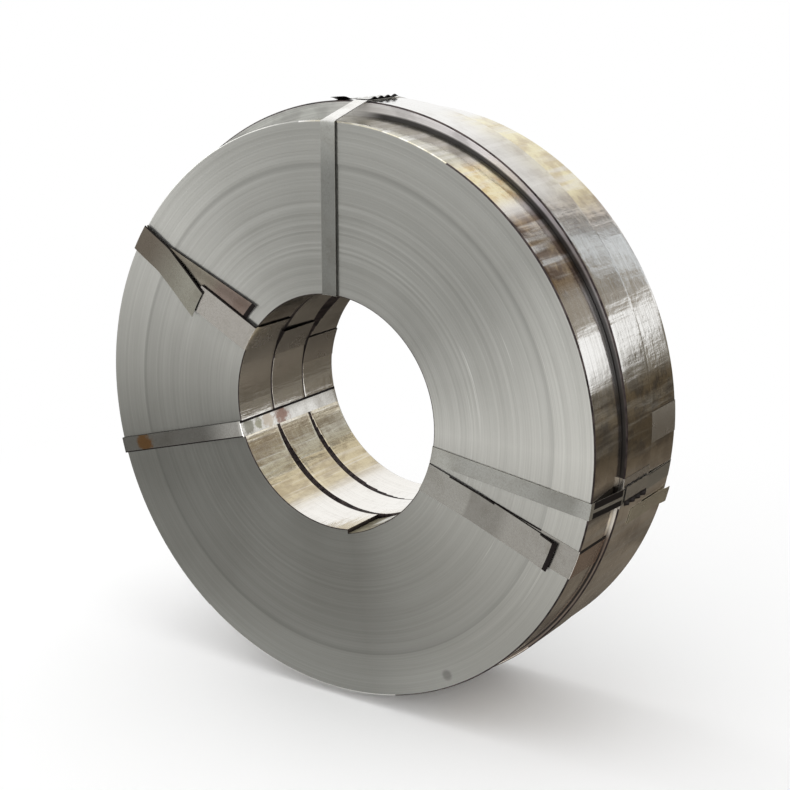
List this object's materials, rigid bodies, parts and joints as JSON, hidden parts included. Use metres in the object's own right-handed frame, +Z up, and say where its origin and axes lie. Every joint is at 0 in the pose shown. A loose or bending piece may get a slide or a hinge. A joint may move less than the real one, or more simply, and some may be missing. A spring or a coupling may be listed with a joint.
{
  "type": "strapped bundle of stainless steel strip coils",
  "caption": "Slit coils of bright stainless strip side by side on one bore, each held by wide bands and tied into one bundle by narrow crimped straps.",
  "frame": {"origin": "on the floor under the middle coil, midway between the end faces", "axes": "+Z up, the bore along Y with the front face towards -Y, +X to the right seen from the front"},
  "size_m": [1.014, 0.2814, 1.0162],
  "materials": {
    "strip": "bright rolled surface, satin slit edges",
    "strap": "satin",
    "seal": "dull, crimped",
    "band": "satin with a faint warm tint"
  },
  "bodies": {
    "root": {"coil_front": "strip", "coil_middle": "strip", "coil_back": "strip", "strap_top": "strap", "strap_left": "strap", "strap_right": "strap", "seal_top": "seal", "seal_left": "seal", "seal_right": "seal", "band_front_upper": "band", "band_front_lower": "band", "band_middle_upper": "band", "band_middle_lower": "band", "band_back_upper": "band", "band_back_lower": "band"}
  },
  "joints": []
}
